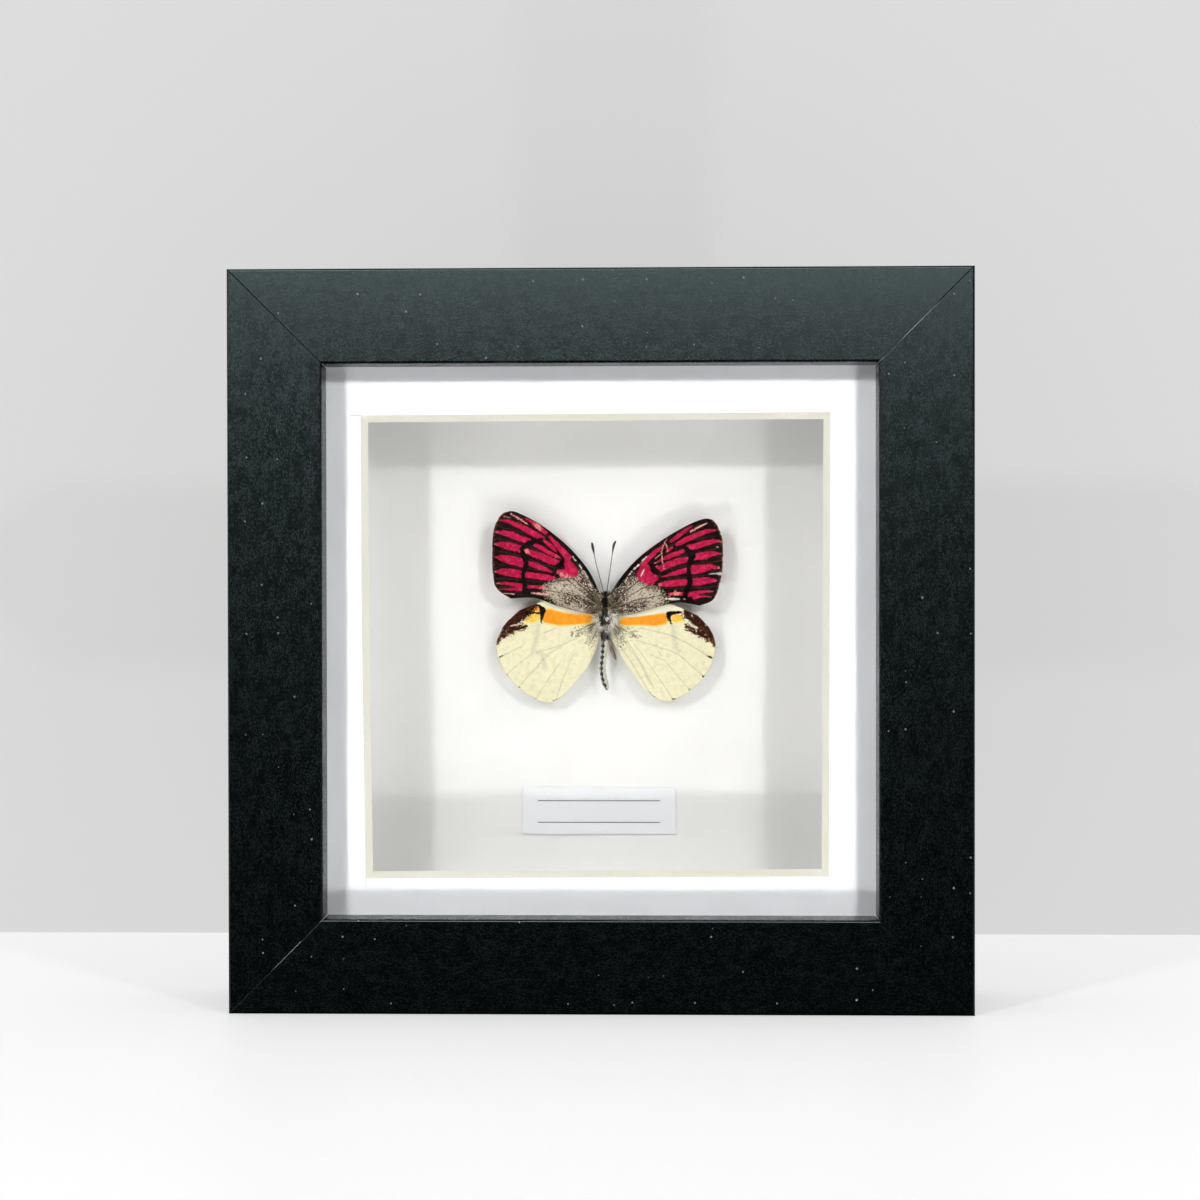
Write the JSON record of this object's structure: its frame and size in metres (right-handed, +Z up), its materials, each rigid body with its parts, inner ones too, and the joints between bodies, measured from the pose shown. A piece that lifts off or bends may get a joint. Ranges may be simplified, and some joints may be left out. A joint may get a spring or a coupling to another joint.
{
  "type": "framed butterfly specimen",
  "caption": "Small square black shadow-box frame with glass, white bevelled mat and a spread crimson and cream butterfly floating over a white card above a bare label.",
  "frame": {"origin": "under the middle of the frame, on the surface it stands on", "axes": "the glass faces -Y, the back faces +Y, +Z is up along the butterfly's body towards its head"},
  "size_m": [0.155, 0.036, 0.155],
  "materials": {
    "rail": "satin black foil over a wood moulding, faint mottle along the grain, a few specks of dust",
    "glass": "clear picture glass",
    "mat": "matt white mount board with a cream core at the bevel",
    "spacer": "matt white foam board",
    "card": "matt warm white card",
    "backboard": "thin brown hardboard",
    "label": "smooth white paper",
    "steel": "zinc plated steel",
    "body": "dark furred insect body, dried",
    "antenna": "dark matt insect horn",
    "forewing": "scaled wing membrane, crimson cells between black veins",
    "hindwing": "scaled wing membrane, cream with an orange leading edge"
  },
  "bodies": {
    "root": {"frame_rail_top": "rail", "frame_rail_bottom": "rail", "frame_rail_left": "rail", "frame_rail_right": "rail", "glass_pane": "glass", "window_mat": "mat", "spacer_top": "spacer", "spacer_bottom": "spacer", "spacer_left": "spacer", "spacer_right": "spacer", "backing_card": "card", "backboard": "backboard", "name_label": "label", "mounting_block": "spacer", "sawtooth_hanger": "steel", "hanger_rivet_left": "steel", "hanger_rivet_right": "steel", "butterfly_body": "body", "hind_leg": "body", "antenna_left": "antenna", "antenna_right": "antenna", "forewing_left": "forewing", "forewing_right": "forewing", "hindwing_left": "hindwing", "hindwing_right": "hindwing", "back_tab_1": "steel", "back_tab_2": "steel", "back_tab_3": "steel", "back_tab_4": "steel", "back_tab_5": "steel", "back_tab_6": "steel", "back_tab_7": "steel", "back_tab_8": "steel"}
  },
  "joints": []
}
